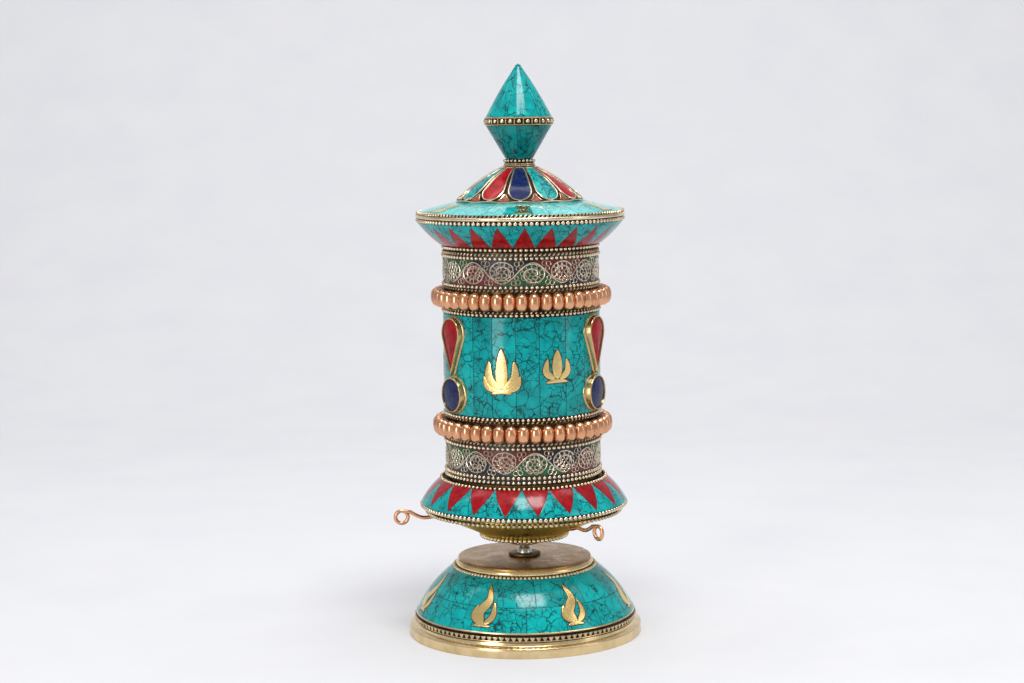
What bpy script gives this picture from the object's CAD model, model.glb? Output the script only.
"""Tabletop prayer wheel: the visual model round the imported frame.

Sizes in the helpers are millimetres; MM turns them into Blender's metres. Azimuths are
degrees from the front (-Y) towards the right (+X).
"""

import math
import random

import bmesh
import bpy
from mathutils import Matrix, Vector


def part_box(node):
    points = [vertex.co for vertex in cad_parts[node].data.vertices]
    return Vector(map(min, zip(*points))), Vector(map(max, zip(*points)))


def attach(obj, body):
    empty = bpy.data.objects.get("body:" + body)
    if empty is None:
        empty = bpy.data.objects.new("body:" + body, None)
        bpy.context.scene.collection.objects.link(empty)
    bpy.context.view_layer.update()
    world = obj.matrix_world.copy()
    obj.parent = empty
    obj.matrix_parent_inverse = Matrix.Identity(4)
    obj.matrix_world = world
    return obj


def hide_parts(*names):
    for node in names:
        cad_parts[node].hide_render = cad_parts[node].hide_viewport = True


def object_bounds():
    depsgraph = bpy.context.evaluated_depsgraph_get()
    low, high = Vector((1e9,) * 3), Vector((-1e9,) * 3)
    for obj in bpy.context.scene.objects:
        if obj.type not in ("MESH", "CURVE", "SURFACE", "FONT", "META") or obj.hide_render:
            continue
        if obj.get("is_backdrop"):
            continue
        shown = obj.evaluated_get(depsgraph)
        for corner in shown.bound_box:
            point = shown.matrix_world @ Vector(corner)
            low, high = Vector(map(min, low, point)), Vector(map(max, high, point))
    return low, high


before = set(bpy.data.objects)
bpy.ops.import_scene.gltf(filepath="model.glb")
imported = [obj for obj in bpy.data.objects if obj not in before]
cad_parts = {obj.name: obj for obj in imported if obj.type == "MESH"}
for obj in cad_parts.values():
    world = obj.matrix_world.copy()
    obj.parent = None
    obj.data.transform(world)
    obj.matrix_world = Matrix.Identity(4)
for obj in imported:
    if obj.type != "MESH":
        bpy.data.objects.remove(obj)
cad_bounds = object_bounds()

MM = 0.001
TURN = 2 * math.pi
SIDES = 128  # sides of a turned piece
chance = random.Random(11)

# ---- Sizes read from the frame ----------------------------------------------------------


def span(node):
    """(outer radius, lowest z, highest z) of a turned CAD node, in millimetres."""
    low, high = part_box(node)
    return high.x / MM, low.z / MM, high.z / MM


def outline_of(node):
    """The closed outline of a turned CAD node, as (radius, height) in millimetres."""
    shape = bmesh.new()
    shape.from_mesh(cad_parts[node].data)
    bmesh.ops.remove_doubles(shape, verts=shape.verts, dist=0.002 * MM)
    near = 0.004 * MM
    front = [v for v in shape.verts if abs(v.co.x) < near and v.co.y < near]
    ends = {v: [e.other_vert(v) for e in v.link_edges if e.other_vert(v) in front] for v in front}
    for v in front:  # the axis itself is no part of an outline
        if v.co.y > -near:
            ends[v] = [other for other in ends[v] if other.co.y < -near]
    start = next((v for v in front if len(ends[v]) == 1), front[0])
    loop, here, before = [], start, None
    while here is not None:
        loop.append((-here.co.y / MM, here.co.z / MM))
        onward = [v for v in ends[here] if v is not before and v is not start]
        here, before = (onward[0] if onward else None), here
    shape.free()
    return flowing(loop)


def smooth_line(points, steps=6):
    """Points on a smooth curve through the given ones, of any number of coordinates."""
    made = []
    padded = [points[0], *points, points[-1]]
    for a, b, c, d in zip(padded, padded[1:], padded[2:], padded[3:]):
        for i in range(steps):
            t = i / steps
            made.append(
                tuple(
                    0.5 * (2 * q + (r - p) * t + (2 * p - 5 * q + 4 * r - s) * t**2
                           + (3 * q - p - 3 * r + s) * t**3)
                    for p, q, r, s in zip(a, b, c, d)
                )
            )
    made.append(tuple(points[-1]))
    return made


def flowing(outline, steps=4, corner=28):
    """The outline with its gently bending runs made smooth and its corners kept."""
    count = len(outline)
    open_ended = outline[0][0] < 0.005 and outline[-1][0] < 0.005

    def bend(i):
        (ax, ay), (bx, by), (cx, cy) = (outline[(i + k) % count] for k in (-1, 0, 1))
        turn = math.atan2(cy - by, cx - bx) - math.atan2(by - ay, bx - ax)
        return abs(math.degrees((turn + math.pi) % TURN - math.pi))

    corners = [i for i in range(count) if bend(i) > corner or (open_ended and i in (0, count - 1))]
    if not corners:
        return outline
    made = []
    for start, end in zip(corners, corners[1:] + [corners[0] + count]):
        run = [outline[i % count] for i in range(start, end + 1)]
        made += (smooth_line(run, steps) if len(run) > 2 else run)[:-1]
    if open_ended:  # the way back up the axis holds no points
        made = made[made.index(outline[0]):] + made[: made.index(outline[0])]
    return made


def crossings(outline, at, along=1):
    """Radii where an outline has a height, or with along 0 heights where it has a radius."""
    found, other = [], 1 - along
    for a, b in zip(outline, outline[1:] + outline[:1]):
        run, rise = b[along] - a[along], b[other] - a[other]
        if run and min(a[along], b[along]) <= at <= max(a[along], b[along]):
            found.append(a[other] + rise * (at - a[along]) / run)
    return found


def radius_at(outline, height):
    """The outermost radius of an outline at a height."""
    return max(crossings(outline, height))


def surface(node):
    """A function that puts (azimuth, height, lift) on a turned node's outer side, in metres."""
    outline = outline_of(node)
    low = min(z for r, z in outline)
    high = max(z for r, z in outline)
    step = 0.3  # mm up and down, over which the surface's lean is measured

    def place(azimuth, height, lift=0.0):
        z = min(max(height, low + 0.02), high - 0.02)
        above, below = min(z + step, high - 0.01), max(z - step, low + 0.01)
        lean = (radius_at(outline, above) - radius_at(outline, below)) / (above - below)
        out, up = 1 / math.hypot(1, lean), -lean / math.hypot(1, lean)
        radius = radius_at(outline, z) + (height - z) * lean + lift * out
        a = math.radians(azimuth)
        return Vector((radius * math.sin(a), -radius * math.cos(a), height + lift * up)) * MM

    return place


# ---- Making pieces ----------------------------------------------------------------------


def alone(obj):
    """Makes obj the only selected object, and the active one."""
    bpy.ops.object.select_all(action="DESELECT")
    obj.select_set(True)
    bpy.context.view_layer.objects.active = obj
    return obj


def take(name):
    """The primitive just added, named, with its place applied to its mesh."""
    obj = bpy.context.object
    alone(obj)
    obj.name = name
    bpy.ops.object.transform_apply(location=True, rotation=True, scale=True)
    return obj


def shaped(obj, kind, **settings):
    """Adds a modifier with its settings and applies it."""
    alone(obj)
    modifier = obj.modifiers.new(kind.title(), kind)
    for key, value in settings.items():
        setattr(modifier, key, value)
    bpy.ops.object.modifier_apply(modifier=modifier.name)
    return obj


def piece(obj, body, material, slot, nodes=(), angle=35):
    """The last steps for any piece: smooth shading, material, body, slot and stand-ins."""
    alone(obj)
    bpy.ops.object.shade_smooth_by_angle(angle=math.radians(angle))
    obj.data.materials.clear()
    obj.data.materials.append(material)
    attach(obj, body)
    if nodes:
        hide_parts(*nodes)
    return obj


def pick(obj, chosen):
    """Selects the vertices that chosen is true for, and nothing else, in object mode."""
    for part in (*obj.data.polygons, *obj.data.edges, *obj.data.vertices):
        part.select = False
    for v in obj.data.vertices:
        v.select = chosen(v)


def edit(*steps, everything=True):
    """Runs edit-mode steps on the active object, on all of it or on what is selected."""
    bpy.ops.object.mode_set(mode="EDIT")
    bpy.ops.mesh.select_mode(type="VERT")
    if everything:
        bpy.ops.mesh.select_all(action="SELECT")
    for step in steps:
        step()
    bpy.ops.object.mode_set(mode="OBJECT")


def tidied(obj):
    """Merges doubles and turns the faces outwards."""
    alone(obj)
    edit(
        lambda: bpy.ops.mesh.remove_doubles(threshold=0.001 * MM),
        lambda: bpy.ops.mesh.normals_make_consistent(inside=False),
    )
    return obj


def turned(name, outline, sides=SIDES, bevel=0.18):
    """Spins an outline of (radius, height) about the axis, and softens its edges."""
    bpy.ops.mesh.primitive_circle_add(vertices=len(outline), radius=1)
    obj = take(name)
    for v, (r, z) in zip(obj.data.vertices, outline):
        v.co = (0, -r * MM, z * MM)
    on_axis = outline[0][0] < 0.005 and outline[-1][0] < 0.005
    if on_axis:  # the edge that runs up the axis is left out
        pick(obj, lambda v: v.index in (0, len(outline) - 1))
        edit(lambda: bpy.ops.mesh.delete(type="EDGE"), everything=False)
    edit(lambda: bpy.ops.mesh.spin(steps=sides, angle=TURN, center=(0, 0, 0), axis=(0, 0, 1)))
    tidied(obj)
    if bevel:
        shaped(
            obj, "BEVEL", width=bevel * MM, segments=2, limit_method="ANGLE",
            angle_limit=math.radians(28), use_clamp_overlap=True,
        )
    return obj


def around(obj, count):
    """Copies all of obj's mesh to count even places round the axis."""
    alone(obj)
    edit(
        lambda: bpy.ops.mesh.spin(
            steps=count - 1, dupli=True, angle=TURN * (count - 1) / count,
            center=(0, 0, 0), axis=(0, 0, 1),
        )
    )
    return obj


def joined(name, objects):
    """Joins objects into one, named."""
    bpy.ops.object.select_all(action="DESELECT")
    for obj in objects:
        obj.select_set(True)
    bpy.context.view_layer.objects.active = objects[0]
    if len(objects) > 1:
        bpy.ops.object.join()
    obj = bpy.context.object
    obj.name = name
    return obj


def wires(name, lines, thickness, sides=8):
    """Round wires through lists of points in metres, each (points, closed), as one piece."""
    curve = bpy.data.curves.new(name, "CURVE")
    curve.dimensions = "3D"
    curve.bevel_depth = thickness / 2 * MM
    curve.bevel_resolution = sides // 2 - 2
    curve.use_fill_caps = True
    for points, closed in lines:
        line = curve.splines.new("POLY")
        line.points.add(len(points) - 1)
        for target, point in zip(line.points, points):
            target.co = (*point, 1)
        line.use_cyclic_u = closed
    obj = bpy.data.objects.new(name, curve)
    bpy.context.scene.collection.objects.link(obj)
    alone(obj)
    bpy.ops.object.convert(target="MESH")
    return bpy.context.object


def plate(name, across, along, half_width, place, thickness, sink=0.3):
    """A thin inlaid plate: a grid bent on to a surface by place(x, t, lift), in millimetres.

    half_width(t) is half its width at t, from 0 at one end to 1 at the other.
    """
    bpy.ops.mesh.primitive_grid_add(x_subdivisions=across, y_subdivisions=along, size=2)
    obj = take(name)
    for v in obj.data.vertices:
        t = (1 - math.cos((v.co.y + 1) / 2 * math.pi)) / 2
        edge = max(abs(v.co.x), abs(v.co.y))
        v.co = place(v.co.x * half_width(t), t, thickness * (1 - 0.3 * edge**6))
    tidied(obj)
    return shaped(obj, "SOLIDIFY", thickness=(thickness + sink) * MM, offset=-1)


# ---- Materials --------------------------------------------------------------------------


def colour(code):
    """An sRGB hex colour as linear red, green, blue and alpha."""
    parts = [int(code[i : i + 2], 16) / 255 for i in (1, 3, 5)]
    linear = [p / 12.92 if p <= 0.04045 else ((p + 0.055) / 1.055) ** 2.4 for p in parts]
    return (*linear, 1.0)


def node(mat, kind, inputs=(), out=0, **settings):
    """Adds a node with its settings and gives one of its outputs.

    inputs fills the first sockets in order, or is a dict of sockets; a value may be an output.
    """
    made = mat.node_tree.nodes.new("ShaderNode" + kind)
    for key, value in settings.items():
        setattr(made, key, value)
    for key, value in inputs.items() if isinstance(inputs, dict) else enumerate(inputs):
        if isinstance(value, bpy.types.NodeSocket):
            mat.node_tree.links.new(value, made.inputs[key])
        else:
            made.inputs[key].default_value = value
    return made.outputs[out]


def material(name):
    """A new material, and its Object coordinates in millimetres."""
    mat = bpy.data.materials.new(name)
    mat.use_nodes = True
    place = node(mat, "TexCoord", out="Object")
    return mat, node(mat, "Mapping", {"Vector": place, "Scale": (1000, 1000, 1000)})


def finish(mat, **sockets):
    """Sets the shader's own sockets, each to a constant or to a node's output."""
    shader = mat.node_tree.nodes["Principled BSDF"]
    for key, value in sockets.items():
        socket = shader.inputs[key.replace("_", " ")]
        if isinstance(value, bpy.types.NodeSocket):
            mat.node_tree.links.new(value, socket)
        else:
            socket.default_value = value
    return mat


def about_axis(mat, mm):
    """A point's azimuth in turns from the front, its height and its radius."""
    x, y, z = node(mat, "SeparateXYZ", [mm]).node.outputs
    back = node(mat, "Math", [y, -1.0], operation="MULTIPLY")
    azimuth = node(mat, "Math", [x, back], operation="ARCTAN2")
    turns = node(mat, "Math", [azimuth, 1 / TURN], operation="MULTIPLY")
    flat = node(mat, "CombineXYZ", [x, y])
    return turns, z, node(mat, "VectorMath", [flat], 1, operation="LENGTH")


def web(mat, mm, cell, width, warp, seed):
    """A web of veins: 1 on a vein, 0 off it. Cell, width and warp are in millimetres."""
    apart = node(mat, "Mapping", {"Vector": mm, "Location": (seed, 2 * seed, -seed)})
    wander = node(mat, "TexNoise", {"Vector": apart, "Scale": 1 / 3.4, "Detail": 4.0}, 1)
    shift = node(mat, "VectorMath", [wander, (0.5, 0.5, 0.5)], operation="SUBTRACT")
    bent = node(mat, "VectorMath", [shift, (warp,) * 3, apart], operation="MULTIPLY_ADD")
    edge = node(
        mat, "TexVoronoi", {"Vector": bent, "Scale": 1 / cell}, feature="DISTANCE_TO_EDGE"
    )
    thick = node(mat, "TexNoise", {"Vector": apart, "Scale": 1 / 2.6, "Detail": 2.0})
    reach = node(mat, "MapRange", [thick, 0.34, 0.66, 0.35 * width / cell, width / cell])
    share = node(mat, "Math", [edge, reach], operation="DIVIDE")
    return node(mat, "MapRange", [share, 0.4, 1.0, 1.0, 0.0])


def clouded(mat, mm, deep, light, size, low, high, detail=6.0):
    """Two colours in clouds of a size in millimetres: their mix, and the cloud itself."""
    cloud = node(mat, "TexNoise", {"Vector": mm, "Scale": 1 / size, "Detail": detail})
    share = node(mat, "MapRange", [cloud, low, high])
    mix = {0: share, 6: colour(deep), 7: colour(light)}
    return node(mat, "Mix", mix, 2, data_type="RGBA"), cloud


def turquoise_stone(mat, mm, tone, seed, codes):
    """Composite turquoise: its colour and the mask of its dark veins.

    tone is a random number from 0 to 1 for each stone; codes are deep, mid, light and vein.
    """
    deep, mid, light, vein = codes
    jump = node(mat, "VectorMath", {0: (61.0, 37.0, 83.0), 3: tone}, operation="SCALE")
    own = node(mat, "VectorMath", [mm, jump], operation="ADD")
    body = clouded(mat, own, deep, mid, 6.5, 0.33, 0.66, 5.0)[0]
    share = node(mat, "MapRange", [tone, 0.25, 1.0, 0.0, 0.5])
    body = node(mat, "Mix", {0: share, 6: body, 7: colour(light)}, 2, data_type="RGBA")
    patch = node(mat, "TexNoise", {"Vector": own, "Scale": 1 / 9.0, "Detail": 2.0})
    coarse = web(mat, own, 6.2, 0.35, 4.0, seed)
    fine = web(mat, own, 3.0, 0.27, 2.8, seed + 5.0)
    where = node(mat, "MapRange", [patch, 0.46, 0.58, 0.0, 0.9])
    fine = node(mat, "Math", [fine, where], operation="MULTIPLY")
    where = node(mat, "MapRange", [patch, 0.3, 0.5, 0.25, 1.0])
    coarse = node(mat, "Math", [coarse, where], operation="MULTIPLY")
    veins = node(mat, "Math", [coarse, fine], operation="MAXIMUM")
    dust = node(mat, "TexNoise", {"Vector": own, "Scale": 1 / 1.7, "Detail": 6.0})
    share = node(mat, "MapRange", [dust, 0.52, 0.75, 0.0, 0.4])
    body = node(mat, "Mix", {0: share, 6: body, 7: colour(deep)}, 2, data_type="RGBA")
    share = node(mat, "Math", [veins, 0.94], operation="MULTIPLY")
    return node(mat, "Mix", {0: share, 6: body, 7: colour(vein)}, 2, data_type="RGBA"), veins


# Turquoise composite's deep, mid, light and vein colours; the roof's is paler.
TEAL = ("#007F7F", "#00A1A0", "#04BAB6", "#042C30")
PALE_TEAL = ("#49AEAD", "#68C0BE", "#92D3D1", "#2F7F7D")
DEEP_TEAL = ("#006A6B", "#008887", "#039D9A", "#042629")


def polished(mat, mm, body, marks, rough):
    """The skin of inlay that is ground flush: gently wavy, its marks a little sunk."""
    wavy = node(mat, "TexNoise", {"Vector": mm, "Scale": 1 / 5.0, "Detail": 3.0})
    dips = node(mat, "Math", [wavy, -1.6, marks], operation="MULTIPLY_ADD")
    sunk = node(mat, "Bump", {"Distance": 0.04 * MM, "Height": dips}, invert=True)
    return finish(
        mat, Base_Color=body, Roughness=rough, Normal=sunk, IOR=1.58, Specular_IOR_Level=0.2
    )


def inlay(name, cad_node, count, rows=1, seed=0.0, codes=TEAL):
    """Turquoise slabs butted round a turned surface, each with a tone and veins of its own."""
    mat, mm = material(name)
    turns, height = about_axis(mat, mm)[:2]
    wide, low, high = span(cad_node)
    level = node(mat, "MapRange", [height, low, high, 0.0, rows - 0.001])
    row = node(mat, "Math", [level], operation="FLOOR")
    along = node(mat, "Math", [turns, count, seed * 3 + 40], operation="MULTIPLY_ADD")
    key = node(mat, "Math", [row, 17.37, along], operation="MULTIPLY_ADD")
    slab = {"W": key, "Scale": 1.0, "Randomness": 0.7}
    edge = node(mat, "TexVoronoi", slab, voronoi_dimensions="1D", feature="DISTANCE_TO_EDGE")
    dice = node(mat, "TexVoronoi", slab, 1, voronoi_dimensions="1D")
    tone = node(mat, "SeparateColor", [dice])
    gap = node(mat, "Math", [edge, TURN * wide / count], operation="MULTIPLY")
    joint = node(mat, "MapRange", [gap, 0.08, 0.24, 1.0, 0.0])
    if rows > 1:
        near = node(mat, "Math", [level, 0.5], operation="PINGPONG")
        near = node(mat, "Math", [near, (high - low) / rows], operation="MULTIPLY")
        line = node(mat, "MapRange", [near, 0.06, 0.18, 1.0, 0.0])
        inside = node(mat, "MapRange", [height, high - 2.0, high - 1.9, 1.0, 0.0])
        line = node(mat, "Math", [line, inside], operation="MULTIPLY")
        joint = node(mat, "Math", [joint, line], operation="MAXIMUM")
    body, veins = turquoise_stone(mat, mm, tone, seed, codes)
    share = node(mat, "Math", [joint, 0.92], operation="MULTIPLY")
    body = node(mat, "Mix", {0: share, 6: body, 7: colour("#0A2423")}, 2, data_type="RGBA")
    marks = node(mat, "Math", [veins, 0.12, joint], operation="MULTIPLY_ADD")
    rough = node(mat, "MapRange", [veins, 0.0, 1.0, 0.12, 0.2])
    return polished(mat, mm, body, marks, rough)


def triangles(name, cad_node, count, first, apex_up, seed):
    """Coral triangles between turquoise ones, ground flush. first is an apex's azimuth."""
    mat, mm = material(name)
    turns, height = about_axis(mat, mm)[:2]
    wide, low, high = span(cad_node)
    place = node(
        mat, "Math", [turns, count, 100.5 - first / 360 * count], operation="MULTIPLY_ADD"
    )
    cell = node(mat, "Math", [place], operation="FLOOR")
    within = node(mat, "Math", [place], operation="FRACT")
    within = node(mat, "Math", [within, 0.5], operation="SUBTRACT")
    within = node(mat, "Math", [within], operation="ABSOLUTE")
    wobble = node(mat, "TexNoise", {"Vector": mm, "Scale": 1 / 9.0, "Detail": 1.0})
    within = node(mat, "Math", [wobble, 0.05, within], operation="MULTIPLY_ADD")
    ends = (0.52, 0.025) if apex_up else (0.025, 0.52)
    reach = node(mat, "MapRange", [height, low + 0.3, high - 0.5, *ends])
    side = node(mat, "Math", [reach, within], operation="SUBTRACT")
    inside = node(mat, "Math", [side, 0.025], operation="GREATER_THAN")
    line = node(mat, "Math", [side, 0.025], operation="SUBTRACT")
    line = node(mat, "Math", [line], operation="ABSOLUTE")
    line = node(mat, "MapRange", [line, 0.004, 0.02, 1.0, 0.0])
    tone = node(mat, "TexWhiteNoise", {"W": cell}, noise_dimensions="1D")
    blue = turquoise_stone(mat, mm, tone, seed, TEAL)[0]
    red = clouded(mat, mm, "#780309", "#A20D18", 2.4, 0.34, 0.66)[0]
    share = node(mat, "MapRange", [tone, 0.5, 1.0, 0.0, 0.45])
    red = node(mat, "Mix", {0: share, 6: red, 7: colour("#5E040B")}, 2, data_type="RGBA")
    body = node(mat, "Mix", {0: inside, 6: blue, 7: red}, 2, data_type="RGBA")
    share = node(mat, "Math", [line, 0.7], operation="MULTIPLY")
    body = node(mat, "Mix", {0: share, 6: body, 7: colour("#3A1A1C")}, 2, data_type="RGBA")
    return polished(mat, mm, body, line, 0.14)


def stone(name, deep, light, grain_size, rough=0.12):
    """A cut and polished stone, clouded at its grain size in millimetres."""
    mat, mm = material(name)
    body = clouded(mat, mm, deep, light, grain_size, 0.33, 0.67)[0]
    wavy = node(mat, "TexNoise", {"Vector": mm, "Scale": 1 / 4.0, "Detail": 2.0})
    bump = node(mat, "Bump", {"Distance": 0.05 * MM, "Height": wavy})
    return finish(
        mat, Base_Color=body, Roughness=rough, Normal=bump, IOR=1.56, Specular_IOR_Level=0.2
    )


def metal(name, bright, tarnish, rough, worn=0.4, lines=0.0, lines_deep=0.02):
    """A metal, tarnished in blotches. lines is the pitch of its turning marks in mm."""
    mat, mm = material(name)
    blotch = node(mat, "TexNoise", {"Vector": mm, "Scale": 1 / 7.0, "Detail": 6.0})
    share = node(mat, "MapRange", [blotch, 0.4, 0.72, 0.0, worn])
    body = node(mat, "Mix", {0: share, 6: colour(bright), 7: colour(tarnish)}, 2, data_type="RGBA")
    fine = node(mat, "TexNoise", {"Vector": mm, "Scale": 1 / 0.9, "Detail": 4.0})
    uneven = node(mat, "Math", [fine, blotch], operation="ADD")
    gloss = node(mat, "MapRange", [uneven, 0.7, 1.3, rough * 0.7, rough * 1.45])
    if lines:
        height, radius = about_axis(mat, mm)[1:]
        run = node(mat, "Math", [height, radius], operation="ADD")
        run = node(mat, "Math", [run, 1 / lines], operation="MULTIPLY")
        fine = node(mat, "TexNoise", {"W": run, "Detail": 3.0}, noise_dimensions="1D")
    bump = node(mat, "Bump", {"Distance": lines_deep * MM, "Height": fine})
    return finish(mat, Base_Color=body, Roughness=gloss, Normal=bump, Metallic=1.0)


def matt(name, deep, light, rough, grain_size, bump_deep):
    """A matt, grainy stuff. Sizes are in millimetres."""
    mat, mm = material(name)
    body, grain = clouded(mat, mm, deep, light, grain_size, 0.3, 0.7)
    bump = node(mat, "Bump", {"Distance": bump_deep * MM, "Height": grain})
    return finish(mat, Base_Color=body, Roughness=rough, Normal=bump)


FIRST_LOBE, LOBE = -59.2, 22.5  # degrees: a bowl's middle, and one lobe's width
RISE = 5.0  # mm from the middle of a filigree field to its wave's crest


def paste(name, low, high, codes):
    """Coloured paste rubbed in between filigree wires, a colour for each lobe of the wave.

    The field lies from low to high; outside it the sheet is blackened metal.
    """
    mat, mm = material(name)
    turns, height = about_axis(mat, mm)[:2]
    lobe = node(
        mat, "Math", [turns, 360 / LOBE, 48 - FIRST_LOBE / LOBE], operation="MULTIPLY_ADD"
    )
    swing = node(mat, "Math", [lobe, math.pi], operation="MULTIPLY")
    swing = node(mat, "Math", [swing], operation="COSINE")
    crest = node(mat, "Math", [swing, -RISE, (low + high) / 2], operation="MULTIPLY_ADD")
    above = node(mat, "Math", [height, crest], operation="GREATER_THAN")
    even = node(mat, "Math", [lobe, 1.0], operation="ADD")
    even = node(mat, "Math", [even, 2.0], operation="SNAP")
    odd = node(mat, "Math", [lobe, 2.0], operation="SNAP")
    odd = node(mat, "Math", [odd, 1.0], operation="ADD")
    index = node(mat, "Mix", {0: above, 2: odd, 3: even}, data_type="FLOAT")
    index = node(mat, "Math", [index, 0.1], operation="ADD")
    index = node(mat, "Math", [index, 3.0], operation="FLOORED_MODULO")
    second = node(mat, "Math", [index, 1.0], operation="GREATER_THAN")
    third = node(mat, "Math", [index, 2.0], operation="GREATER_THAN")
    first_colour, second_colour, third_colour = (colour(code) for code in codes)
    body = node(mat, "Mix", {0: second, 6: first_colour, 7: second_colour}, 2, data_type="RGBA")
    body = node(mat, "Mix", {0: third, 6: body, 7: third_colour}, 2, data_type="RGBA")
    clot = node(mat, "TexNoise", {"Vector": mm, "Scale": 1 / 0.9, "Detail": 5.0})
    share = node(mat, "MapRange", [clot, 0.42, 0.68, 0.0, 0.75])
    body = node(mat, "Mix", {0: share, 6: body, 7: colour("#14110F")}, 2, data_type="RGBA")
    under = node(mat, "Math", [height, low], operation="LESS_THAN")
    over = node(mat, "Math", [height, high], operation="GREATER_THAN")
    outside = node(mat, "Math", [under, over], operation="MAXIMUM")
    body = node(mat, "Mix", {0: outside, 6: body, 7: colour("#1E1814")}, 2, data_type="RGBA")
    bump = node(mat, "Bump", {"Distance": 0.15 * MM, "Height": clot})
    return finish(mat, Base_Color=body, Roughness=0.36, Normal=bump, IOR=1.5)


# Cast and turned brass, aged: warm and even, with brown tarnish and a soft gloss.
BRASS = metal("aged_turned_brass", "#E6CE9E", "#A88C5E", 0.18, 0.45, lines=0.8, lines_deep=0.005)
# Spun brass dish: fine turning rings spread its reflection, browner than the foot.
DISH_BRASS = metal(
    "spun_brass_brown_patina", "#B08F60", "#73572F", 0.3, 0.5, lines=0.5, lines_deep=0.01
)
# Pressed yellow brass: greenish yellow, brighter than the foot.
BOWL_BRASS = metal("pressed_yellow_brass", "#D8C063", "#8E7A38", 0.34, 0.4)
# Sheet brass that nobody polishes: dull brown with a dark cast.
SHEET_BRASS = metal("unpolished_brass_sheet", "#8A6B3E", "#4B3A26", 0.42, 0.7)
# Polished brass strip and wire round the stones: the brightest yellow metal.
BEZEL_BRASS = metal("polished_brass_strip", "#C6AD7A", "#755E38", 0.2, 0.45)
# Soldered nickel-silver granules, rubbed bright on top: pale with a warm cast.
GRANULES = metal("nickel_silver_granules", "#E6D6B8", "#8D7960", 0.2, 0.4)
# The same wire drawn thin and twisted, a little duller.
TWIST = metal("nickel_silver_twisted_wire", "#D6C09A", "#6E5B43", 0.26, 0.55)
# Filigree wire: silver white, fine and softly bright.
FILIGREE = metal("silvered_filigree_wire", "#DDD1BC", "#8C7C64", 0.25, 0.35)
# Blackened metal under the granules: almost black, so each one stands out.
BLACKENED = metal("blackened_brass_ground", "#3A2C20", "#140F0B", 0.5, 0.7)
# Beads of drawn copper, buffed: pinkish orange with brown in the dips.
COPPER = metal("buffed_copper", "#E2A880", "#8E5438", 0.22, 0.35)
# Copper left dull in the grooves between the beads.
DULL_COPPER = metal("oxidised_copper", "#5A3524", "#2A1710", 0.45, 0.6)
# Ground steel rod: white metal with fine rings.
STEEL = metal("ground_steel", "#C3C3C0", "#8C8B88", 0.2, 0.25, lines=0.3)
# Gilded brass leaves let in flush: bright warm gold, lightly scratched.
GILT = metal("gilded_brass_inlay", "#F1D58E", "#C2934A", 0.2, 0.45, lines_deep=0.05)
# Dark resin that fills round each inlaid piece.
RESIN = matt("dark_resin_joint", "#1A1411", "#2E2119", 0.4, 0.8, 0.02)
# Coral stones: solid deep red with a faint cloud, glassy polish.
CORAL = stone("polished_red_coral", "#7C0006", "#A80410", 3.0)
# Lapis: very dark blue, almost black away from the light.
LAPIS = stone("polished_lapis", "#0D1436", "#1E2B5C", 2.2, 0.1)
# Small turquoise petals: the same composite, without slabs.
PETAL_BLUE = inlay("turquoise_petal_cabochon", "cap_petal_inlay", 12, 1, 6.0)
# Brown-orange carnelian chips between the petals.
CARNELIAN = stone("carnelian_chips", "#6B2C1C", "#A4583A", 1.5, 0.2)
# Ground stone on the foot: a wide dark web, slabs in two courses.
BASE_STONE = inlay("turquoise_base_slabs", "base_inlay", 15, 2, 1.0)
# The drum's stone: upright slabs, some with a dense fine web.
DRUM_STONE = inlay("turquoise_drum_slabs", "drum_inlay", 20, 1, 2.0)
# The roof's stone is cut paler, with thin joints.
ROOF_STONE = inlay("pale_turquoise_roof_slabs", "lid_top_inlay", 20, 1, 3.0, PALE_TEAL)
# The finial's two cones: narrow slabs that taper with them, darker in the lower one.
TIP_STONE = inlay("turquoise_upper_cone", "finial_upper_cone", 6, 1, 4.0)
STEM_STONE = inlay("turquoise_lower_cone", "finial_lower_cone", 9, 1, 5.0, DEEP_TEAL)
# Coral and turquoise triangles under the roof and on the skirt.
ROOF_TRIANGLES = triangles("coral_turquoise_roof_mosaic", "lid_mosaic", 24, 2.2, True, 11.0)
SKIRT_TRIANGLES = triangles("coral_turquoise_skirt_mosaic", "skirt_mosaic", 20, 7.5, False, 12.0)
UPPER_FIELD, LOWER_FIELD = (176.7, 188.6), (85.0, 96.7)  # mm: where each filigree lies
GREEN, RED, NAVY = "#125C30", "#730D13", "#080E26"
# Paste colours behind the silver wire: matt green, red and dark blue.
UPPER_PASTE = paste("coloured_paste_upper", *UPPER_FIELD, (GREEN, RED, NAVY))
LOWER_PASTE = paste("coloured_paste_lower", *LOWER_FIELD, (GREEN, NAVY, RED))
# Pressed wool felt: dark red, fuzzy and quite matt.
FELT = matt("pressed_wool_felt", "#3A1518", "#552529", 0.95, 0.6, 0.12)
# Cast plaster ballast: off-white and powdery.
PLASTER = matt("cast_plaster", "#CFC8BA", "#E6E0D4", 0.9, 2.0, 0.1)
# Rolled printed-paper core left blank: cream, with its edges showing as layers.
PAPER = matt("rolled_cream_paper", "#CDB98F", "#E5D6B2", 0.85, 1.2, 0.05)
# Plain painted studio board.
BOARD = matt("matt_pale_studio_board", "#CFCFD2", "#D3D3D5", 0.8, 60.0, 0.0)

# ---- The nodes that keep their CAD shape ------------------------------------------------

KEPT = {
    SHEET_BRASS: ("base_shell", "base_plate", "drum_tube", "lid_top_shell", "axle_tube"),
    BLACKENED: ("lid_flare_shell", "skirt_shell"),
    STEEL: ("lower_washer", "lower_nut", "pivot_ball", "bearing_cup", "finial_stud", "finial_nut"),
    FELT: ("felt_pad",),
    PLASTER: ("ballast",),
    PAPER: ("mantra_roll",),
}
for finish_used, names in KEPT.items():
    for name in names:
        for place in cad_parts[name].material_slots:
            place.material = finish_used

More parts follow.
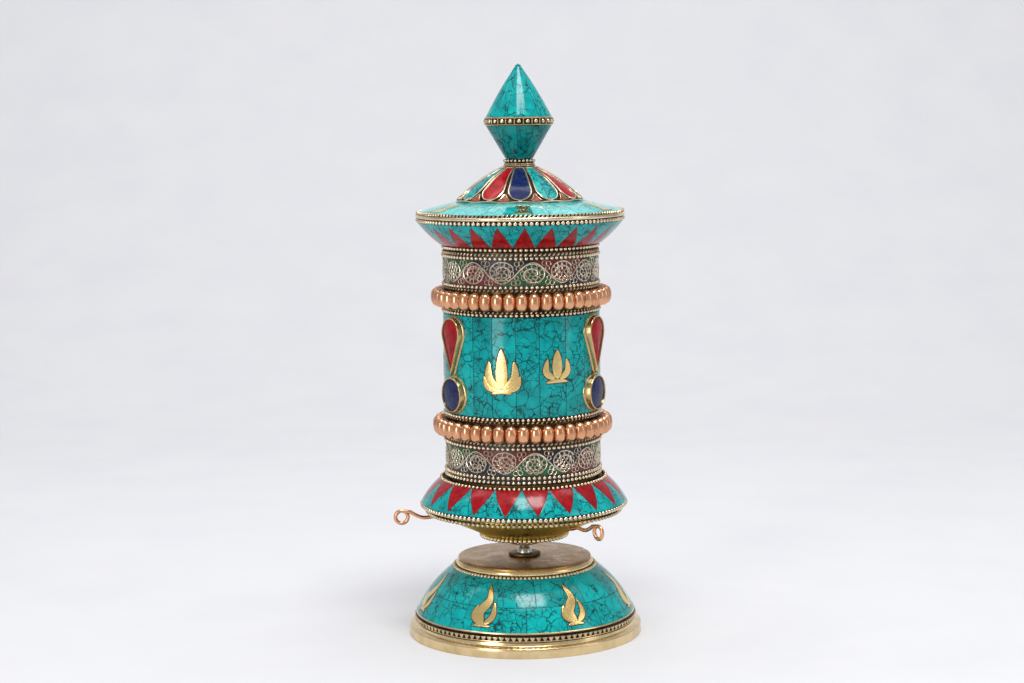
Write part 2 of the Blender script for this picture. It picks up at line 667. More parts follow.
# ---- Turned pieces, rows and rings ------------------------------------------------------

BASE, DRUM, LID = "base", "drum", "lid"


def from_frame(name, cad_node, body, material, slot, bevel=0.3, sides=SIDES):
    """A piece turned on the outline of the CAD node that it stands for."""
    made = turned(name, outline_of(cad_node), sides, bevel)
    return piece(made, body, material, slot, [cad_node])


def edge_ground(name, cad_node, body, back, shoulder, crest):
    """The blackened strip under an edge's granules, its sizes behind the CAD node's outside."""
    out, low, high = span(cad_node)
    half = [(out - back, low), (out - shoulder, low)]
    line = [*half, (out - crest, (low + high) / 2), *((r, high) for r, z in reversed(half))]
    return piece(turned(name, line, bevel=0), body, BLACKENED, "white_metal", [cad_node])


def ball_row(
    name, body, radius, height, size, count, squash=1.0, tall=1.0, metal_used=None, nodes=()
):
    """A row of soldered balls: radius is where their middles lie."""
    bpy.ops.mesh.primitive_uv_sphere_add(
        segments=10, ring_count=7, radius=size / 2 * MM, location=(0, -radius * MM, height * MM),
        scale=(1, squash, tall),
    )
    made = around(take(name), count)
    return piece(made, body, metal_used or GRANULES, "white_metal", nodes)


def rope_row(name, body, radius, height, size, count, long=1.35):
    """A twisted wire: slanting strands laid side by side round the axis."""
    lean = 46  # degrees from upright
    bpy.ops.mesh.primitive_uv_sphere_add(
        segments=8, ring_count=6, radius=size / 2 * MM, location=(0, -radius * MM, height * MM),
        rotation=(0, math.radians(lean), 0), scale=(0.82, 0.8, long),
    )
    return piece(around(take(name), count), body, TWIST, "white_metal")


def hoop(name, radius, height, across, tall=None, sides=SIDES):
    """A round wire bent into a ring round the axis, or an oval one if it is given tall."""
    bpy.ops.mesh.primitive_torus_add(
        major_segments=sides, minor_segments=10, major_radius=radius * MM,
        minor_radius=across / 2 * MM, location=(0, 0, height * MM),
    )
    bpy.context.object.scale.z = (tall or across) / across
    return take(name)


def hoops(name, body, material, slot, *rings, sides=SIDES):
    """Hoops as one piece, each given as (radius, height, across) or with its tall too."""
    made = [hoop(name, *ring, sides=sides) for ring in rings]
    return piece(joined(name, made), body, material, slot)


# ---- Foot -------------------------------------------------------------------------------

from_frame("foot", "foot_ring", BASE, BRASS, "aged_brass")
from_frame("base_stone", "base_inlay", BASE, BASE_STONE, "turquoise")
from_frame("base_border_ground", "base_border_band", BASE, BLACKENED, "aged_brass", 0)
BORDER_RADIUS, BORDER_LOW, BORDER_HIGH = span("base_border_band")
TEETH = 116
TOOTH_PROUD, TOOTH_SUNK = 0.45, 0.7  # mm in front of the border and behind it


def tooth_row(name, place, low, high, width, count):
    """Small filed teeth, broad at the top and narrow below, side by side round the axis."""
    bpy.ops.mesh.primitive_cube_add(size=1)
    obj = take(name)
    for v in obj.data.vertices:
        across, up = v.co.x * 2, v.co.z + 0.5
        half = width * (0.1 + 0.36 * up)
        at = place(0, low + (high - low) * up, TOOTH_PROUD if v.co.y < 0 else -TOOTH_SUNK)
        v.co = (across * half * MM, at.y, at.z)
    shaped(obj, "BEVEL", width=0.14 * MM, segments=2)
    return around(tidied(obj), count)


teeth = tooth_row(
    "base_border_teeth", surface("base_border_band"), BORDER_LOW + 0.5, BORDER_HIGH - 1.0,
    TURN * BORDER_RADIUS / TEETH, TEETH,
)
piece(teeth, BASE, TWIST, "white_metal")

base_cone = outline_of("base_inlay")
hoops(
    "base_border_wires", BASE, BRASS, "aged_brass",
    (radius_at(base_cone, 11.6) + 0.1, 11.2, 1.0), (BORDER_RADIUS + 0.1, BORDER_LOW + 0.35, 0.6),
)
DISH, DISH_LOW = span("base_dish")[:2]
rim_top = max(z for r, z in base_cone)
ball_row("base_rim_beads", BASE, DISH + 1.9 + 0.45, rim_top + 0.25, 1.75, 108)
from_frame("rest_dish", "base_dish", BASE, DISH_BRASS, "aged_brass", 0.35)
hoops("dish_roll", BASE, BRASS, "aged_brass", (DISH + 0.15, DISH_LOW - 0.05, 2.9, 3.4))
from_frame("spindle_washer", "dish_washer", BASE, SHEET_BRASS, "steel", 0.12, 48)
SPINDLE = span("spindle")[0]
SLEEVE_LOW, SLEEVE_HIGH = span("dish_nut")[1:]
sleeve = [
    (SPINDLE + 0.1, SLEEVE_LOW - 0.2), (SPINDLE + 1.5, SLEEVE_LOW - 0.2),
    (SPINDLE + 1.3, SLEEVE_LOW + 0.5), (SPINDLE + 0.7, SLEEVE_HIGH - 0.2),
    (SPINDLE + 0.4, SLEEVE_HIGH), (SPINDLE + 0.1, SLEEVE_HIGH),
]
piece(turned("spindle_sleeve", sleeve, 48, 0.1), BASE, STEEL, "steel", ["dish_nut"])
from_frame("spindle_rod", "spindle", BASE, STEEL, "steel", 0.3, 48)

# ---- Underside of the drum --------------------------------------------------------------

from_frame("bowl", "bottom_pan", DRUM, BOWL_BRASS, "aged_brass")
RING, RING_HIGH = span("pan_bead_wire")[::2]
ball_row("bowl_beads", DRUM, RING - 0.75, RING_HIGH + 0.15, 2.1, 60, nodes=["pan_bead_wire"])
hoops("bowl_bead_seat", DRUM, BLACKENED, "aged_brass", (RING - 1.5, RING_HIGH, 1.5))
from_frame("boss", "lower_bush", DRUM, BRASS, "aged_brass", 0.3, 64)
BOSS, BOSS_LOW = span("lower_bush")[:2]
ball_row("boss_beads", DRUM, BOSS - 0.1, BOSS_LOW + 0.9, 1.7, 27)

# ---- Skirt ------------------------------------------------------------------------------

from_frame("skirt_stone", "skirt_mosaic", DRUM, SKIRT_TRIANGLES, "turquoise")
edge_ground("skirt_edge_ground", "skirt_edge_wire", DRUM, 3.4, 0.9, 0.7)
SKIRT, SKIRT_LOW, SKIRT_HIGH = span("skirt_edge_wire")
middle = (SKIRT_LOW + SKIRT_HIGH) / 2
ball_row("skirt_edge_beads", DRUM, SKIRT - 0.65, middle, 2.2, 126, 0.9, 0.95)
hoops(
    "skirt_edge_fillets", DRUM, TWIST, "white_metal",
    (SKIRT - 1.05, SKIRT_HIGH + 0.35, 0.6), (SKIRT - 1.6, SKIRT_LOW - 0.15, 0.6),
)
UNDER, UNDER_LOW, UNDER_HIGH = span("skirt_under_wire")
middle = (UNDER_LOW + UNDER_HIGH) / 2
ball_row(
    "skirt_under_beads", DRUM, UNDER - 1.15, middle, 2.0, 118, 1.0, 1.05, TWIST,
    ["skirt_under_wire"],
)
COLLAR, COLLAR_HIGH = 40.9, span("skirt_shell")[2]
ball_row("skirt_collar_beads", DRUM, COLLAR, COLLAR_HIGH + 0.15, 1.75, 108, 1.0, 0.9)

# ---- Drum -------------------------------------------------------------------------------

BAND = span("lower_filigree_band")[0]


def row_of_balls(name, height, count=96, size=2.0, body=DRUM, radius=BAND):
    """A row of granules soldered on a blackened strip, half sunk in it."""
    return ball_row(name, body, radius + 0.12, height, size, count)


def row_of_twist(name, height, count=104, size=1.25, body=DRUM, radius=BAND):
    """A twisted wire laid round a strip, half sunk in it."""
    return rope_row(name, body, radius + 0.1, height, size, count)


for side, fill in (("lower", LOWER_PASTE), ("upper", UPPER_PASTE)):
    from_frame(side + "_band_ground", side + "_filigree_band", DRUM, fill, "white_metal", 0.1)
row_of_balls("lower_band_beads_1", 81.35)
row_of_balls("lower_band_beads_2", 83.65)
row_of_balls("lower_band_beads_3", 98.0)
row_of_twist("lower_band_twist", 99.85)
row_of_twist("upper_band_twist_1", 174.05)
row_of_balls("upper_band_beads_1", 175.65)
row_of_balls("upper_band_beads_2", 189.65)
row_of_twist("upper_band_twist_2", 191.35, size=1.4)

for side in ("lower", "upper"):  # the balls lie next to the stone
    node_name = "inlay_border_" + side
    wide, low, high = span(node_name)
    from_frame(side + "_border_ground", node_name, DRUM, BLACKENED, "white_metal", 0)
    ball_height = high - 0.95 if side == "lower" else low + 0.95
    twist_height = low + 0.7 if side == "lower" else high - 0.7
    row_of_balls(side + "_border_beads", ball_height, size=1.9, radius=wide - 0.4)
    row_of_twist(side + "_border_twist", twist_height, size=1.15, radius=wide - 0.35)

from_frame("drum_stone", "drum_inlay", DRUM, DRUM_STONE, "turquoise", 0.15)

BEADS = 44
BEAD_WIDE, BEAD_DEEP = 3.05, 3.3  # mm: half a copper bead's width, and half its depth
FULL = 2.35  # how square a bead's side is: 2 is a plain oval
for side in ("lower", "upper"):
    node_name = side + "_bead_ring"
    wide, low, high = span(node_name)
    middle, tall = (low + high) / 2, high - low
    core = [
        (BAND - 1.0, low + 0.5), (BAND + 1.6, low + 0.7), (wide - 3.1, middle - tall * 0.3),
        (wide - 1.9, middle), (wide - 3.1, middle + tall * 0.3), (BAND + 1.6, high - 0.7),
        (BAND - 1.0, high - 0.5),
    ]
    core_piece = turned(side + "_bead_core", core, bevel=0)
    piece(core_piece, DRUM, DULL_COPPER, "copper", [node_name])
    out = (wide - BEAD_DEEP) * MM
    bpy.ops.mesh.primitive_uv_sphere_add(
        segments=20, ring_count=14, radius=MM, location=(0, -out, middle * MM),
        scale=(BEAD_WIDE, BEAD_DEEP, tall / 2),
    )
    bead = take(side + "_beads")
    for v in bead.data.vertices:  # barrels: fuller than a ball towards the ends
        up = min(abs(v.co.z / MM - middle) / (tall / 2), 0.9999)
        fuller = (1 - up**FULL) ** (1 / FULL) / math.sqrt(1 - up**2)
        if up < 0.999:
            v.co.x *= min(fuller, 1.6)
            v.co.y = (v.co.y + out) * min(fuller, 1.6) - out
    piece(around(bead, BEADS), DRUM, COPPER, "copper", angle=70)

# ---- Filigree ---------------------------------------------------------------------------


WIDE, TALL = 6.4, 5.0  # mm: half of a scroll's width and height
# Loops outside a scroll, as (sideways, away from the wave's crest, radius) in mm.
CORNERS = [
    (way * x, z, size)
    for x, z, size in ((7.2, 3.9, 1.2), (5.0, 5.0, 1.0), (8.0, 1.8, 1.0), (9.4, 4.2, 1.2))
    for way in (-1, 1)
]


def lobes(cad_node, low, high):
    """The wires of one filigree field: its wave, and a scroll and loops in every lobe."""
    place = surface(cad_node)
    middle = (low + high) / 2
    degree = TURN * span(cad_node)[0] / 360  # mm along the surface
    wave, fine = [], []
    for i in range(240):
        azimuth = i * 1.5
        phase = (azimuth - FIRST_LOBE) / LOBE * math.pi
        wave.append(place(azimuth, middle - RISE * math.cos(phase), 0.15))
    bold = [(wave, True)]
    for k in range(16):
        centre = FIRST_LOBE + LOBE * k
        way = 1 if k % 2 else -1  # a dome stands under a crest, a bowl lies over a dip
        hub = middle - way * 0.5
        scroll = []
        handed = 1 if k % 3 else -1
        for i in range(44):
            t = i / 43
            a = math.pi * (0.5 + way * 0.35) + 1.55 * TURN * t * handed
            share = 1 - 0.75 * t**1.6
            x, z = WIDE * share * math.cos(a), TALL * share * math.sin(a)
            scroll.append(place(centre + x / degree, hub + z, 0.2))
        bold.append((scroll, False))
        for share, count in ((0.72, 11), (0.38, 6)):
            for j in range(count):
                a = TURN * (j + 0.3 * chance.random()) / count + k
                x, z = WIDE * share * math.cos(a), TALL * share * math.sin(a)
                fine.append((centre + x / degree, hub + z, 1.15 + 0.3 * chance.random()))
        for x, z, size in CORNERS:
            z = hub - way * z
            if low + 0.6 < z < high - 0.6:
                x += 0.3 * chance.random()
                fine.append((centre + x / degree, z, size))
    rings = []
    for azimuth, z, size in fine:
        start = chance.random() * TURN
        ring = []
        for i in range(8):
            a = start + i * TURN / 8
            ring.append(place(azimuth + size * math.cos(a) / degree, z + size * math.sin(a), 0.15))
        rings.append((ring, True))
    return bold, rings


for side, field in (("lower", LOWER_FIELD), ("upper", UPPER_FIELD)):
    bold, rings = lobes(side + "_filigree_band", *field)
    piece(wires(side + "_filigree_scrolls", bold, 0.58, 6), DRUM, FILIGREE, "white_metal")
    piece(wires(side + "_filigree_loops", rings, 0.41, 4), DRUM, FILIGREE, "white_metal", angle=80)

# ---- Stone settings ---------------------------------------------------------------------

SETTINGS = (-57.3, 62.7, 182.7)  # degrees
FACE, SLEEVE = 41.7, 38.8  # mm: radius of a bezel's rim, and of the drum round it
BACK = 37.4  # mm: radius of a bezel's back, inside the sleeve
DROP_HIGH, DROP_TIP, DROP_ROUND = 152.6, 132.4, 7.8  # mm: circle's centre, tip, its radius
ROUND_CENTRE, ROUND_RADIUS = 122.6, 8.7
BEZEL = 0.9  # mm of brass round a stone


def drop_line(inset):
    """A drop's outline as (x, z) in millimetres, point down, inset by so much."""
    r = DROP_ROUND - inset
    tip = DROP_TIP + inset * (DROP_HIGH - DROP_TIP) / DROP_ROUND
    lean = math.acos(r / (DROP_HIGH - tip))
    arc = [-math.pi / 2 + lean + (TURN - 2 * lean) * i / 33 for i in range(34)]
    line = [(r * math.cos(a), DROP_HIGH + r * math.sin(a)) for a in arc]
    left, right = line[-1], line[0]
    for i in range(1, 7):
        t = i / 7
        line.append((left[0] * (1 - t), left[1] + (tip - left[1]) * t))
    line.append((0, tip))
    for i in range(1, 7):
        t = i / 7
        line.append((right[0] * t, tip + (right[1] - tip) * t))
    return line


def disc_line(inset):
    """A round stone's outline."""
    r = ROUND_RADIUS - inset
    return [
        (r * math.sin(TURN * i / 40), ROUND_CENTRE + r * math.cos(TURN * i / 40))
        for i in range(40)
    ]


def loops_of(name, loops):
    """A closed skin through loops of (x, y, z) in millimetres.

    The first and last loops are either the same, for a ring, or points, for a solid.
    """
    bpy.ops.mesh.primitive_circle_add(vertices=len(loops[0]), radius=1)
    obj = take(name)
    for v, point in zip(obj.data.vertices, loops[0]):
        v.co = Vector(point) * MM
    for loop in loops[1:]:
        edit(lambda: bpy.ops.mesh.extrude_region_move(), everything=loop is loops[1])
        fresh = len(obj.data.vertices) - len(loop)
        for v, point in zip(list(obj.data.vertices)[fresh:], loop):
            v.co = Vector(point) * MM
        pick(obj, lambda v, fresh=fresh: v.index >= fresh)
    return tidied(obj)


def bezel_and_stone(number, kind, line, centre, azimuth, stone_used, slot):
    """A strip bezel with a rounded rim and a wire at its foot, and the domed stone in it."""
    turn = Matrix.Rotation(math.radians(azimuth), 4, "Z")

    def loop(inset, depth):
        return [(x, -depth, z) for x, z in line(inset)]

    def foot(inset, lift):
        r = SLEEVE + lift
        return [(x, -math.sqrt(r * r - x * x), z) for x, z in line(inset)]

    strip = loops_of(
        f"{kind}_bezel_{number}",
        [
            loop(BEZEL, BACK), loop(BEZEL, FACE - 0.55), loop(BEZEL - 0.12, FACE - 0.12),
            loop(BEZEL - 0.35, FACE), loop(0.3, FACE), loop(0.08, FACE - 0.2), loop(0, FACE - 0.5),
            foot(0, 0.9), foot(-0.35, 0.7), foot(-0.6, 0.3), foot(-0.5, -0.2), loop(0.2, BACK),
            loop(BEZEL, BACK),
        ],
    )
    inset, back = BEZEL + 0.05, BACK + 0.2
    domed = [
        [(0, -back, centre)] * len(line(0)), loop(inset, back), loop(inset, FACE - 0.7),
    ]
    for share in (0.94, 0.84, 0.68, 0.48, 0.26, 0.0):
        rise = FACE - 0.65 + 0.75 * (1 - share**2)
        domed.append([(x * share, -rise, (z - centre) * share + centre) for x, z in line(inset)])
    gem = loops_of(f"{kind}_stone_{number}", domed)
    for obj in (strip, gem):
        obj.data.transform(turn)
    piece(strip, DRUM, BEZEL_BRASS, "aged_brass", [f"{kind}_bezel_{number}"], 40)
    piece(gem, DRUM, stone_used, slot, [f"{kind}_stone_{number}"], 40)


for i, azimuth in enumerate(SETTINGS, 1):
    bezel_and_stone(i, "teardrop", drop_line, DROP_HIGH, azimuth, CORAL, "coral")
    bezel_and_stone(i, "round", disc_line, ROUND_CENTRE, azimuth, LAPIS, "lapis")

# ---- Gilt ornaments ---------------------------------------------------------------------

# Leaves are (points along the middle, half width) in mm; x runs right and z up.


def pair(points, half):
    """A leaf on the left, given by its points, and its mirror image on the right."""
    return (points, half), ([(-x, z) for x, z in points], half)


LOTUS = (
    ([(0, -9.6), (0, -1.0), (0, 10.5)], 3.0),
    *pair([(-0.8, -9.9), (-6.4, -4.4), (-6.4, 4.4)], 2.1),
    *pair([(-1.6, -10.6), (-7.4, -8.4), (-9.4, -3.0)], 1.3),
    ([(-5.2, -11.6), (0, -10.6), (5.2, -11.6)], 1.0),
)
BUD = (
    ([(0, -6.0), (0, 0.5), (0, 7.6)], 2.6),
    *pair([(-1.4, -6.0), (-5.6, -2.6), (-4.9, 3.6)], 1.7),
    ([(-5.8, -7.6), (0, -6.9), (5.8, -7.6)], 0.9),
)
FLAME = (
    ([(0.6, -9.2), (-2.3, -3.2), (1.7, 2.8), (-0.8, 9.6)], 2.6),
    ([(-0.4, -9.2), (-5.4, -5.6), (-4.8, -0.2)], 1.6),
    ([(1.2, -9.2), (5.6, -4.8), (5.2, 1.8)], 1.6),
    ([(-4.6, -10.4), (0, -9.6), (4.6, -10.4)], 1.0),
)


GROUT = 0.42  # mm of resin round a leaf


def inlaid(name, motif, place, azimuth, height, scale, body):
    """A motif of leaves let into a surface, each in a thin line of dark resin."""
    radius = place(0, height).xy.length / MM
    leaves, grouts = [], []
    for k, (points, half) in enumerate(motif):
        middle = smooth_line(points, 8)

        def on_leaf(x, t, lift, middle=middle):
            at = min(max(t, 0), 1) * (len(middle) - 1)
            i = min(int(at), len(middle) - 2)
            (x0, z0), (x1, z1) = middle[i], middle[i + 1]
            long = math.hypot(x1 - x0, z1 - z0)
            share = at - i + (t - 1 if t > 1 else t if t < 0 else 0) * 16
            ax = x0 + (x1 - x0) * share + x * (z1 - z0) / long
            az = z0 + (z1 - z0) * share - x * (x1 - x0) / long
            turned_by = math.degrees(ax * scale / radius)
            return place(azimuth + turned_by, height + az * scale, lift)

        def leaf(t, half=half):
            return half * math.sin(math.pi * min(max(t, 0), 1) ** 0.85) ** 0.8

        def grout(t, leaf=leaf):
            return leaf(t) + GROUT / scale

        def on_grout(x, t, lift, on_leaf=on_leaf):
            return on_leaf(x, t * 1.06 - 0.03, lift)

        leaves.append(plate(f"{name}_leaf_{k}", 5, 17, leaf, on_leaf, 0.16))
        grouts.append(plate(f"{name}_grout_{k}", 5, 17, grout, on_grout, 0.06))
    piece(joined(name, leaves), body, GILT, "aged_brass", angle=50)
    piece(joined(name + "_grout", grouts), body, RESIN, "aged_brass", angle=50)


# Each motif's numbers are the first one's azimuth, its height in mm, and its scale.
drum_side, base_side = surface("drum_inlay"), surface("base_inlay")
for i in range(3):
    inlaid(f"drum_lotus_{i + 1}", LOTUS, drum_side, -15 + 120 * i, 136.2, 0.98, DRUM)
    inlaid(f"drum_bud_{i + 1}", BUD, drum_side, 25.6 + 120 * i, 137.6, 1.02, DRUM)
for i in range(7):
    inlaid(f"base_flame_{i + 1}", FLAME, base_side, -24 + 51.43 * i, 22.8, 0.84, BASE)

# ---- Roof -------------------------------------------------------------------------------

from_frame("roof_underside_stone", "lid_mosaic", LID, ROOF_TRIANGLES, "turquoise")
flare = outline_of("lid_flare_shell")
neck_z = span("lid_mosaic")[1] - 1.1
row_of_balls("roof_neck_beads", neck_z, 96, 2.0, LID, radius_at(flare, neck_z) + 0.1)
row_of_twist("roof_neck_twist", neck_z - 1.6, 104, 1.2, LID, radius_at(flare, neck_z - 1.6))
edge_ground("roof_edge_ground", "lid_edge_wire", LID, 3.0, 1.1, 0.8)
EDGE, EDGE_LOW, EDGE_HIGH = span("lid_edge_wire")
middle = (EDGE_LOW + EDGE_HIGH) / 2
ball_row("roof_edge_beads", LID, EDGE - 0.6, middle, 2.15, 124, 0.9, 0.95)
RIM, RIM_LOW, RIM_HIGH = span("lid_edge_band")
rim_ground = [(r - 0.95 if r > RIM - 1.5 else r, z) for r, z in outline_of("lid_edge_band")]
rim_ground = turned("roof_rim_ground", rim_ground, bevel=0)
piece(rim_ground, LID, BLACKENED, "white_metal", ["lid_edge_band"])
hoops("roof_rim_band", LID, GRANULES, "white_metal", (RIM - 0.75, RIM_LOW + 1.1, 1.5, 1.7))
rope_row("roof_rim_twist", LID, RIM - 0.9, RIM_HIGH - 0.45, 1.4, 150, 1.3)
from_frame("roof_top_stone", "lid_top_inlay", LID, ROOF_STONE, "turquoise", 0.2)
roof_top = surface("lid_top_inlay")
ROOF_LINE = outline_of("lid_top_inlay")
ROOF_LOW, ROOF_HIGH = span("lid_top_inlay")[1:]


def bow(name, azimuth, height, half, tall):
    """A little waisted ornament: two bells that meet end to end."""
    parts = []
    radius = roof_top(0, height).xy.length / MM

    def bell(t):
        return half * (0.42 + 0.58 * t**1.3) * (1 if t < 0.999 else 0.9)

    for way in (-1, 1):

        def on_bell(x, t, lift, way=way):
            turned_by = math.degrees(x / radius)
            return roof_top(azimuth + turned_by, height + way * t * tall / 2, lift)

        parts.append(plate(f"{name}_{way}", 5, 7, bell, on_bell, 0.35))
    return piece(joined(name, parts), LID, GILT, "aged_brass", angle=50)


def dark_slab(name, azimuth, low, high):
    """A darker slab let into the pale roof, as wide as an ornament and a half."""

    def on_roof(x, t, lift):
        height = high + (low - high) * t
        return roof_top(azimuth + math.degrees(x / radius_at(ROOF_LINE, height)), height, lift)

    slab = plate(name, 6, 6, lambda t: 5.4 + 2.4 * t, on_roof, 0.1)
    return piece(slab, LID, BASE_STONE, "turquoise", angle=50)


middle = (ROOF_LOW + ROOF_HIGH) / 2 + 0.2
for i in range(6):
    azimuth = 1.7 + 60 * i
    dark_slab(f"roof_top_slab_{i + 1}", azimuth - 3, ROOF_LOW + 0.75, ROOF_HIGH - 1.45)
    bow(f"roof_top_ornament_{i + 1}", azimuth, middle, 4.5, 3.0)

# ---- Petals on the roof's crown ---------------------------------------------------------

CROWN = outline_of("cap_petal_inlay")
crown = surface("cap_petal_inlay")
from_frame("crown_ground", "cap_petal_inlay", LID, BLACKENED, "turquoise", 0.2)
PETALS, PETAL_LOW, PETAL_HIGH = 12, 216.7, 231.7
PETAL_WIDE, PETAL_NARROW = 5.35, 1.95  # mm: half a petal's width at its widest and its neck
WIDEST = 0.3  # how far up a petal is widest
PETAL_STONES = ((LAPIS, "lapis"), (PETAL_BLUE, "turquoise"), (CORAL, "coral"))


def petal_half(t):
    """Half a petal's width: round at its foot, narrow at the neck."""
    if t < WIDEST:
        return PETAL_WIDE * math.sqrt(max(0.0, 1 - ((WIDEST - t) / WIDEST) ** 2))
    narrowing = PETAL_NARROW - PETAL_WIDE
    return PETAL_WIDE + narrowing * ((t - WIDEST) / (1 - WIDEST)) ** 1.1


def on_crown(azimuth, x, t, lift):
    """A point on the crown: x millimetres sideways, t from the foot to the neck."""
    z = PETAL_LOW + (PETAL_HIGH - PETAL_LOW) * t
    return crown(azimuth + math.degrees(x / radius_at(CROWN, z)), z, lift)


bezels = []
for i in range(PETALS):
    azimuth = 360 / PETALS * i
    petal_stone, petal_slot = PETAL_STONES[i % 3]

    def on_petal(x, t, lift, azimuth=azimuth):
        return on_crown(azimuth, x, t, lift)

    petal = plate(f"petal_{i + 1}", 7, 23, petal_half, on_petal, 0.4)
    piece(petal, LID, petal_stone, petal_slot, angle=50)
    line = [(petal_half(t / 24), t / 24) for t in range(25)]
    line += [(-x, t) for x, t in reversed(line) if x > 0.01]
    bezels.append(([on_crown(azimuth, x * 1.03, t, 0.35) for x, t in line], True))
piece(wires("petal_bezels", bezels, 0.85), LID, GRANULES, "aged_brass")
# Chips of stone between the petals' round ends, each in its own bent wire.
chips, arches = [], []
ARCH = smooth_line([(-2.9, 0.0), (-1.5, 0.07), (0, 0.2), (1.5, 0.07), (2.9, 0.0)], 4)


def chip_half(t):
    """Half a chip's width, from its broad foot to its point."""
    return 2.5 * (1 - t) ** 1.3


for i in range(PETALS):
    azimuth = 360 / PETALS * (i + 0.5)

    def on_chip(x, t, lift, azimuth=azimuth):
        return on_crown(azimuth, x, t * 0.24 - 0.02, lift)

    chips.append(plate(f"chip_{i}", 5, 7, chip_half, on_chip, 0.25))
    arches.append(([on_crown(azimuth, x, t, 0.3) for x, t in ARCH], False))
piece(joined("crown_chips", chips), LID, CARNELIAN, "turquoise", angle=50)
FOOT_Z, FOOT_STEPS = 215.95, 192
waves = []
for i in range(FOOT_STEPS):
    a = 360 * i / FOOT_STEPS
    waves.append(crown(a, FOOT_Z + 0.16 * math.cos(math.radians(a * PETALS)), 0.35))
piece(
    joined(
        "crown_wires",
        [wires("arches", arches, 0.5, 6), wires("foot_line", [(waves, True)], 0.75),
         hoop("foot_wire", 31.0, 215.15, 1.1)],
    ),
    LID, GRANULES, "aged_brass",
)

# ---- Finial -----------------------------------------------------------------------------

from_frame("finial_collar", "neck_collar", LID, BLACKENED, "aged_brass", 0.2, 64)
NECK, NECK_LOW, NECK_HIGH = span("neck_collar")
ball_row("finial_collar_beads", LID, NECK - 0.15, NECK_HIGH - 0.85, 1.5, 23)
hoops(
    "finial_collar_wires", LID, TWIST, "white_metal",
    (NECK + 0.1, NECK_LOW + 0.5, 0.9), (NECK - 0.1, NECK_LOW + 1.45, 0.8), sides=64,
)
from_frame("finial_stem_stone", "finial_lower_cone", LID, STEM_STONE, "turquoise", 0.3, 96)
from_frame("finial_tip_stone", "finial_upper_cone", LID, TIP_STONE, "turquoise", 0.5, 96)
from_frame("finial_band_ground", "finial_band", LID, BLACKENED, "white_metal", 0.1, 96)
FINIAL, FINIAL_LOW, FINIAL_HIGH = span("finial_band")
middle = (FINIAL_LOW + FINIAL_HIGH) / 2
FINIAL_BEADS = 24  # each between two small bars
ball_row("finial_beads", LID, FINIAL - 0.25, middle, 2.2, FINIAL_BEADS, 0.8)
bpy.ops.mesh.primitive_cylinder_add(
    vertices=8, radius=0.42 * MM, depth=2.6 * MM,
    location=(0, -(FINIAL - 0.05) * MM, middle * MM),
)
bar = take("finial_bars")
bar.data.transform(Matrix.Rotation(TURN / (2 * FINIAL_BEADS), 4, "Z"))
shaped(bar, "BEVEL", width=0.12 * MM, segments=1)
piece(around(bar, FINIAL_BEADS), LID, BEZEL_BRASS, "aged_brass")
hoops(
    "finial_fillets", LID, BEZEL_BRASS, "aged_brass",
    *((FINIAL - 0.15, z, 0.65) for z in (FINIAL_LOW + 0.25, FINIAL_HIGH - 0.25)), sides=96,
)

# ---- Hooks ------------------------------------------------------------------------------

HOOKS = (-85.0, 35.0, 155.0)  # degrees
EYE, EYE_HEIGHT, EYE_RADIUS, HOOK_WIRE = 61.2, 59.2, 3.1, 1.9  # mm
bowl = outline_of("bottom_pan")
# The wire's path as (radius, height) in mm: out of the bowl, under the skirt, to the eye.
HOOK_LINE = [
    (37.0, min(crossings(bowl, 37.0, 0)) + 0.6), (39.6, min(crossings(bowl, 39.6, 0)) - 1.2),
    (44.3, 58.95), (47.7, 58.75), (50.5, 58.65), (53.7, 59.75), (57.0, 61.8),
]
line = smooth_line(HOOK_LINE, 8)[:-1]
for k in range(31):
    a = math.radians(110 - 342 * k / 30)
    line.append((EYE + EYE_RADIUS * math.cos(a), EYE_HEIGHT + EYE_RADIUS * math.sin(a)))
for i, azimuth in enumerate(HOOKS, 1):
    a = math.radians(azimuth)
    points = [Vector((r * math.sin(a), -r * math.cos(a), z)) * MM for r, z in line]
    hook = wires(f"copper_hook_{i}", [(points, False)], HOOK_WIRE, 12)
    piece(hook, DRUM, COPPER, "copper", [f"pull_hook_{i}"])

# ---- Studio -----------------------------------------------------------------------------

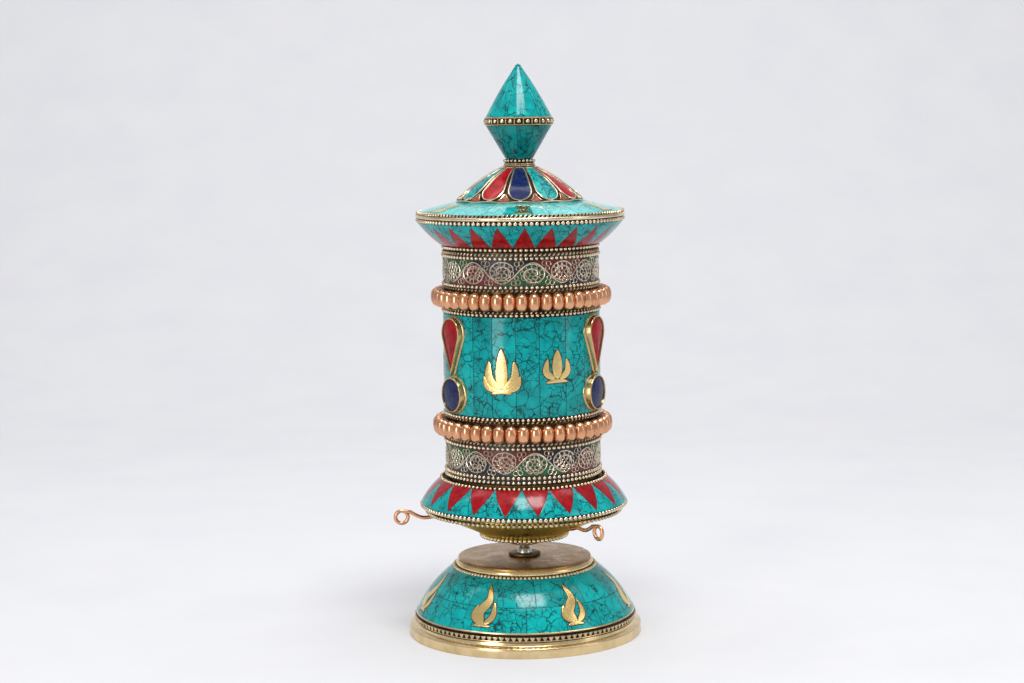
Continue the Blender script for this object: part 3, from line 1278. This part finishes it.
bpy.ops.mesh.primitive_plane_add(size=1)
board = take("studio_board")
for v in board.data.vertices:
    v.co = (v.co.x * 6, -0.9 if v.co.y < 0 else 1.6, 0)
pick(board, lambda v: v.co.y > 0)
edit(
    lambda: bpy.ops.mesh.extrude_region_move(TRANSFORM_OT_translate={"value": (0, 0, 3)}),
    everything=False,
)
shaped(board, "BEVEL", width=1.0, segments=24, limit_method="ANGLE")
alone(board)
bpy.ops.object.shade_smooth_by_angle(angle=math.radians(40))
board.data.materials.append(BOARD)
board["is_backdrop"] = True

CAMERA_BACK, CAMERA_HEIGHT, CAMERA_SIDE = 1.018, 0.2604, -0.0048
CAMERA_DOWN, CAMERA_ROLL = 6.42, -0.8  # degrees
camera = bpy.data.objects.new("camera", bpy.data.cameras.new("camera"))
bpy.context.scene.collection.objects.link(camera)
camera.data.sensor_width = 36.0
camera.data.lens = 72.6
camera.matrix_world = (
    Matrix.Translation((CAMERA_SIDE, -CAMERA_BACK, CAMERA_HEIGHT))
    @ Matrix.Rotation(math.radians(90 - CAMERA_DOWN), 4, "X")
    @ Matrix.Rotation(math.radians(CAMERA_ROLL), 4, "Z")
)
bpy.context.scene.camera = camera


def softbox(name, place, aim, width, height, watts):
    """A rectangular soft light that faces a point."""
    light = bpy.data.lights.new(name, "AREA")
    light.shape = "RECTANGLE"
    light.size, light.size_y, light.energy = width, height, watts
    obj = bpy.data.objects.new(name, light)
    bpy.context.scene.collection.objects.link(obj)
    obj.location = place
    obj.rotation_euler = (Vector(aim) - Vector(place)).to_track_quat("-Z", "Y").to_euler()
    obj.visible_camera = False
    return obj


softbox("key_light", (-0.80, -1.15, 0.26), (0, 0, 0.13), 0.42, 1.1, 7)
softbox("high_light", (0.10, -0.42, 1.25), (0, 0, 0.05), 0.5, 0.42, 10.5)
softbox("fill_light", (1.3, -0.5, 0.6), (0, 0, 0.14), 0.4, 1.1, 1.8)
softbox("wide_light", (0.0, 0.2, 1.9), (0, 0.1, 0), 2.2, 1.8, 10.5)
softbox("backdrop_light", (0, 0.3, 1.6), (0, 1.6, 0.6), 3.0, 0.5, 10.5)

world = bpy.data.worlds.new("studio")
world.use_nodes = True
sky = world.node_tree.nodes["Background"]
sky.inputs["Color"].default_value = colour("#F0F1F6")
sky.inputs["Strength"].default_value = 0.55
bpy.context.scene.world = world
bpy.context.scene.view_settings.view_transform = "Standard"

low, high = cad_bounds
new_low, new_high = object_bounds()
{"cad": [list(low), list(high)], "visual": [list(new_low), list(new_high)]}
